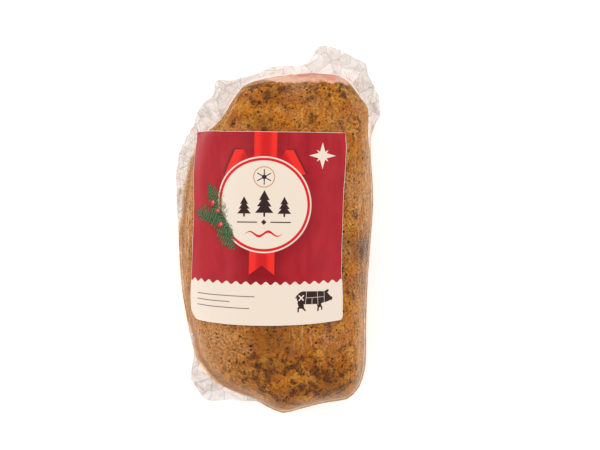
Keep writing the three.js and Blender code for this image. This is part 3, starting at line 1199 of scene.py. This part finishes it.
def needles(along, across, half, pitch, lean, seed):
    """Rows of needles slanting out from a twig, each with a length of its own."""
    count = (along - across * lean) / pitch + seed
    own = put(along.tree, "TexWhiteNoise", {"W": count.math("FLOOR")}, noise_dimensions="1D")
    length = (own * 0.45 + 0.62) * half
    thick = across.between(half, 0) * 0.17 + 0.13
    return (abs(count.fraction() - 0.5) - thick).within(0.14) * (across - length).within(0.4)


def sprig(u, v, place, colour):
    stray = place.noise(3.0, offset=33) - 0.5
    u, v = u + stray * 3.0, v + stray * 2.4
    for start, end, half in SPRIG_TWIGS:
        run = np.array(end) - np.array(start)
        length = float(np.linalg.norm(run))
        run = run / length
        du, dv = u - start[0], v - start[1]
        along = du * float(run[0]) + dv * float(run[1])
        side = du * float(-run[1]) + dv * float(run[0])
        across = abs(side)
        room = (along.between(-3.0, 2.0) * half).least(along * -0.9 + (length * 0.9 + 1.0))
        on = (abs(along - length / 2) - length / 2 - 1.6).within(0.6)
        core = (across - room * 0.34 - stray * 3).within(1.4) * on
        colour.coat(core * 0.85, FIR_DARK)
        for pitch, lean, ink, seed in ((0.9, 0.8, FIR_DARK, 0.3), (1.15, 1.4, FIR, 0.0),
                                       (1.7, 1.1, FIR_LIGHT, 0.6)):
            reach = room * (0.82 if ink is FIR_LIGHT else 1.0)
            skew = side * 0.25 + across
            mark = needles(along, skew, reach, pitch, lean, seed) * on
            colour.coat(mark * (0.42 if ink is FIR_LIGHT else 0.9), ink)
    for berry in BERRIES:
        shine = distance(u, v, (berry[0] + 0.25, berry[1] + 0.3))
        skin = shine.between(0.15, 1.0).blend(BERRY_SHINE, BERRY)
        shadow = distance(u, v, (berry[0] + 0.3, berry[1] - 0.5)) - 1.5
        colour.coat(shadow.within(0.5) * 0.6, FIR_DARK)
        colour.coat((distance(u, v, berry) - 1.35).within(), skin)


print("twigs and berries:", len(SPRIG_TWIGS), len(BERRIES))

# %% [markdown]
# The pig shows a buyer which cut this is, so it is a plain filled outline. Rods with round ends,
# taken together, make its body, head and legs, and thin rods cut the lines between the joints.

# %% Pig, rules and star

# Head, snout, ear, hind legs, forelegs and tail: both ends and half the thickness, in mm.
PIG_LIMBS = [
    ((13.2, -3.6), (15.2, -3.9), 3.2),
    ((15.6, -4.0), (17.0, -4.5), 2.2),
    ((17.0, -4.6), (19.2, -5.0), 1.15),
    ((15.6, -1.4), (17.4, -0.4), 0.75),
    ((2.2, -6.4), (2.8, -8.2), 1.5),
    ((2.6, -8.2), (1.2, -9.4), 0.6),
    ((1.2, -9.4), (1.1, -11.2), 0.42),
    ((3.2, -8.0), (4.0, -9.6), 0.6),
    ((4.0, -9.6), (4.9, -10.7), 0.42),
    ((12.3, -6.6), (12.6, -8.4), 1.2),
    ((12.2, -8.4), (11.9, -11.2), 0.45),
    ((13.0, -8.2), (13.9, -9.4), 0.45),
    ((13.9, -9.4), (14.0, -10.8), 0.4),
    ((0.4, -2.2), (-0.2, -3.6), 0.28),
]


def pig(u, v, colour):
    """A pig in outline, facing right, with its cuts drawn in."""
    left, top = 18.1, -34.9
    u, v = u - left, v - top
    shape = capsule(u, v, (3.9, -3.6), (12.6, -4.0), 3.65)
    for start, end, radius in PIG_LIMBS:
        shape = shape.least(capsule(u, v, start, end, radius))
    mark = shape.within(0.2)
    for start, end in (((5.6, 0), (5.0, -8)), ((11.4, 0), (11.9, -8)), ((15.4, -1), (15.4, -7)),
                       ((5.4, -3.7), (15.4, -3.7)), ((8.6, -3.7), (8.6, -8))):
        mark = mark * (capsule(u, v, start, end, 0.1).within(0.1) * -1 + 1)
    cross = capsule(u, v, (1.6, -2.4), (3.9, -4.9), 0.33)
    cross = cross.least(capsule(u, v, (3.9, -2.4), (1.6, -4.9), 0.33))
    mark = mark * (cross.within() * -1 + 1)
    colour.coat(mark, INK)


def blank_lines(u, v, colour):
    """Three thin rules to write on."""
    for row, end in ((-37.6, -4.5), (-40.9, -17.5), (-44.2, -7.0)):
        rule = (abs(v - row) - 0.26).within() * (abs(u - (end - 38) / 2) - (end + 38) / 2).within()
        colour.coat(rule * 0.8, INK)


def star_mark(u, v, colour):
    """A plain cream star in the upper right corner of the print."""
    centre = (31.6, 40.4)
    shape = None
    for turn in range(4):
        angle = math.pi * turn / 4
        reach = 7.4 if turn % 2 == 0 else 4.6
        du, dv = u - centre[0], v - centre[1]
        along = abs(du * math.sin(angle) + dv * math.cos(angle))
        across = abs(du * math.cos(angle) - dv * math.sin(angle))
        ray = across * 3.6 + along - reach
        shape = ray if shape is None else shape.least(ray)
    colour.coat(shape.within(0.25), CREAM)


print("rods in the pig:", 1 + len(PIG_LIMBS))

# %% Put the print together


def label_material():
    material, tree = new_material("label_paper")
    sheet = put(tree, "UVMap", {}, uv_map="flat_sheet")
    place = put(tree, "Mapping", {"Vector": sheet, "Scale": (*LABEL_SIZE, 1),
                "Location": (-LABEL_SIZE[0] / 2, -LABEL_SIZE[1] / 2, 0)})
    u, v = place.axes(2)
    colour = red_field(u, v, place)
    bows(u, v, colour)
    ribbon(u, v, colour)
    wavy_foot(u, v, colour)
    badge(u, v, colour)
    ornaments(u, v, colour)
    sprig(u, v, place, colour)
    star_mark(u, v, colour)
    pig(u, v, colour)
    blank_lines(u, v, colour)
    margin = (abs(u) - label_width / 2).most(abs(v) - label_height / 2)
    colour.coat((-margin - 0.18).within(0.1), PAPER_WHITE)
    fibre = place.noise(0.8, 2, 0.6)
    bump = put(tree, "Bump", {"Strength": 0.08, "Distance": 0.2 * MM, "Height": fibre},
               output="Normal")
    sheen = place.noise(6) * 0.12 + 0.34
    shader = put(tree, "BsdfPrincipled", {"Base Color": colour, "Roughness": sheen,
                 "Specular IOR Level": 0.16, "Normal": bump})
    finish_with(tree, shader)
    return material


label.data.materials.append(label_material())
print("label nodes:", len(label.data.materials[0].node_tree.nodes))

# %% [markdown]
# ## Join the looks to the frame
#
# Each fine piece takes the place of the plain solid that it was formed on, and rides on the
# frame's one body.

# %% Ride on the frame
for piece, node, slot in ((ham, "ham", "ham_crust"), (upper_web, "upper_film", "clear_film"),
                          (lower_web, "lower_film", "clear_film"), (label, "label", "label_paper")):
    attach(piece, "root")
    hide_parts(node)
    print(piece.name, "rides in place of", node)

# %% [markdown]
# ## Floor, light and camera
#
# A product shot from straight above. The white sweep and the white room light everything evenly,
# two broad lamps give the sides their form, and three small ones put glints on the film. A long
# lens far away keeps the outline free of perspective, as a catalogue picture is.

# %% Floor
FLOOR_SIZE = 12  # in metres
FLOOR_WHITE = 0.94
FLOOR_GLOW = 0.38  # the sweep is lit a little from behind, so that it stays white

bpy.ops.object.select_all(action="DESELECT")
bpy.ops.mesh.primitive_plane_add(size=FLOOR_SIZE, location=(0, 0, cad_box[0].z))
floor = bpy.context.object
floor.name = floor.data.name = "floor"
floor_paint, floor_tree = new_material("white_sweep")
sweep = put(floor_tree, "BsdfDiffuse", {"Color": (FLOOR_WHITE,) * 3 + (1,)})
glow = put(floor_tree, "Emission", {"Color": (1, 1, 1, 1), "Strength": FLOOR_GLOW})
finish_with(floor_tree, put(floor_tree, "AddShader", {0: sweep, 1: glow}))
floor.data.materials.append(floor_paint)
print("floor at a height of", floor.location.z)

# %% Lights
ROOM_LIGHT = 0.78

world = bpy.data.worlds.new("studio")
world.use_nodes = True
background = world.node_tree.nodes["Background"]
background.inputs["Color"].default_value = (1.0, 1.0, 1.0, 1)
background.inputs["Strength"].default_value = ROOM_LIGHT
bpy.context.scene.world = world


def studio_light(name, come_from, spread, strength):
    """A distant soft light: come_from is where it shines from, spread its width in degrees."""
    light = bpy.data.lights.new(name, "SUN")
    light.angle = math.radians(spread)
    light.energy = strength
    lamp = bpy.data.objects.new(name, light)
    bpy.context.scene.collection.objects.link(lamp)
    lamp.rotation_euler = Vector(come_from).to_track_quat("Z", "Y").to_euler()


studio_light("left_light", (-1.0, 0.35, 1.05), 34, 0.42)
studio_light("right_light", (1.0, 0.1, 1.0), 24, 0.22)
studio_light("left_glint", (-0.5, 0.45, 1.0), 6, 0.09)
studio_light("right_glint", (0.55, -0.3, 1.0), 6, 0.07)
studio_light("far_glint", (0.1, 0.8, 1.0), 6, 0.07)
print("lamps:", len(bpy.data.lights))

# %% Camera
VIEW_WIDTH = 0.3342  # width of the scene that the picture takes in, at the height of the waist
LENS = 240
SENSOR = 36
AIM = (0.0123, 0.0028, 0.035)

camera_data = bpy.data.cameras.new("overhead")
camera_data.lens = LENS
camera_data.sensor_width = SENSOR
camera = bpy.data.objects.new("overhead", camera_data)
bpy.context.scene.collection.objects.link(camera)
camera.location = (AIM[0], AIM[1], AIM[2] + VIEW_WIDTH * LENS / SENSOR)
camera_data.clip_end = 50
bpy.context.scene.camera = camera
bpy.context.scene.view_settings.view_transform = "Standard"
bpy.context.scene.cycles.transparent_max_bounces = 24
print("camera height in metres:", round(camera.location.z, 3))
